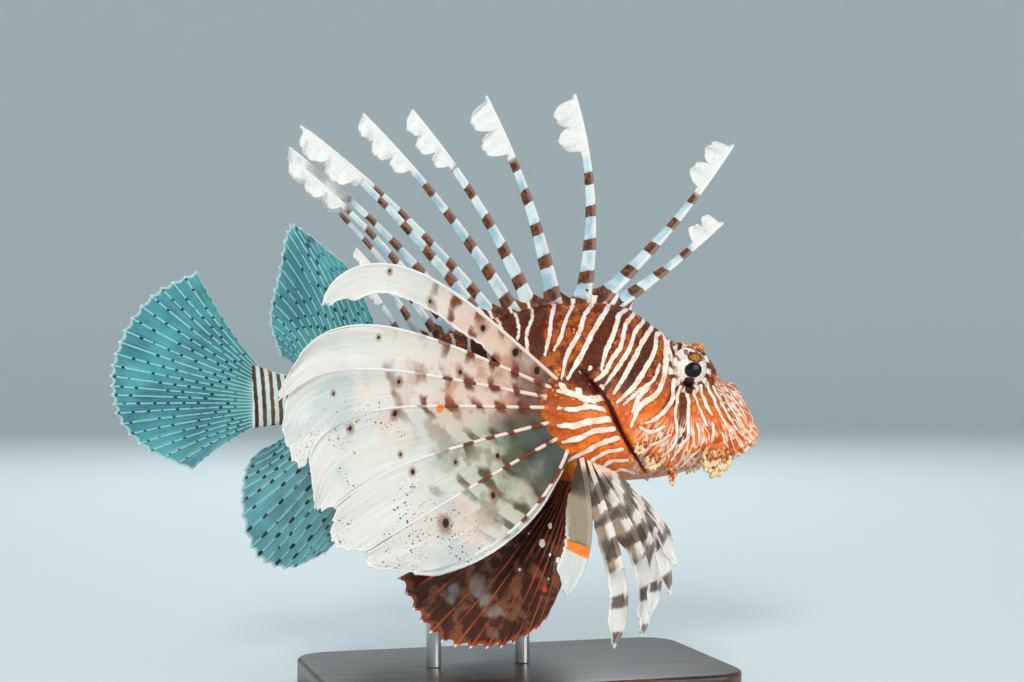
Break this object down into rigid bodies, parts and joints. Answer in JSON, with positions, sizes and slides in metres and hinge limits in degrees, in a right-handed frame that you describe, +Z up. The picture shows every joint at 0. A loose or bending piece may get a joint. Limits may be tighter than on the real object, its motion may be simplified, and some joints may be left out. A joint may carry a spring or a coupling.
{
  "type": "red lionfish model on a display stand",
  "caption": "Life-size red lionfish swimming with its fan-like fins spread and its banded dorsal spines raised, held on rods above a plain base.",
  "frame": {"origin": "middle of the underside of the stand's base, on the floor", "axes": "+X towards the fish's snout, +Y towards the fish's left side, +Z up"},
  "size_m": [0.283, 0.1731, 0.2555],
  "materials": {
    "skin": "painted resin, fine cream-white lines on maroon brown that turns orange below, low gloss",
    "eye": "clear-coated, white iris with brown patches round a blue-black pupil",
    "spines": "translucent pale straps banded with brown, white frilled flags near the tips",
    "clear_fin": "thin translucent fin with pale rays and dark spots",
    "pectoral_fin": "creamy white membrane with brown and pinkish blotches, dark spots and banded rays",
    "pelvic_fin": "dark maroon with white spots, a serrated edge and reddish rays",
    "wood": "dark stained and satin lacquered",
    "steel": "brushed"
  },
  "bodies": {
    "root": {"head": "skin", "torso": "skin", "tail_stalk": "skin", "eye_right": "eye", "eye_left": "eye", "spiny_dorsal_fin": "spines", "soft_dorsal_fin": "clear_fin", "anal_fin": "clear_fin", "caudal_fin": "clear_fin", "pectoral_fan_right": "pectoral_fin", "pectoral_rays_right": "pectoral_fin", "pectoral_fan_left": "pectoral_fin", "pectoral_rays_left": "pectoral_fin", "pelvic_fin_right": "pelvic_fin", "pelvic_fin_left": "pelvic_fin", "stand_base": "wood", "stand_rod_front": "steel", "stand_rod_rear": "steel"}
  },
  "joints": []
}
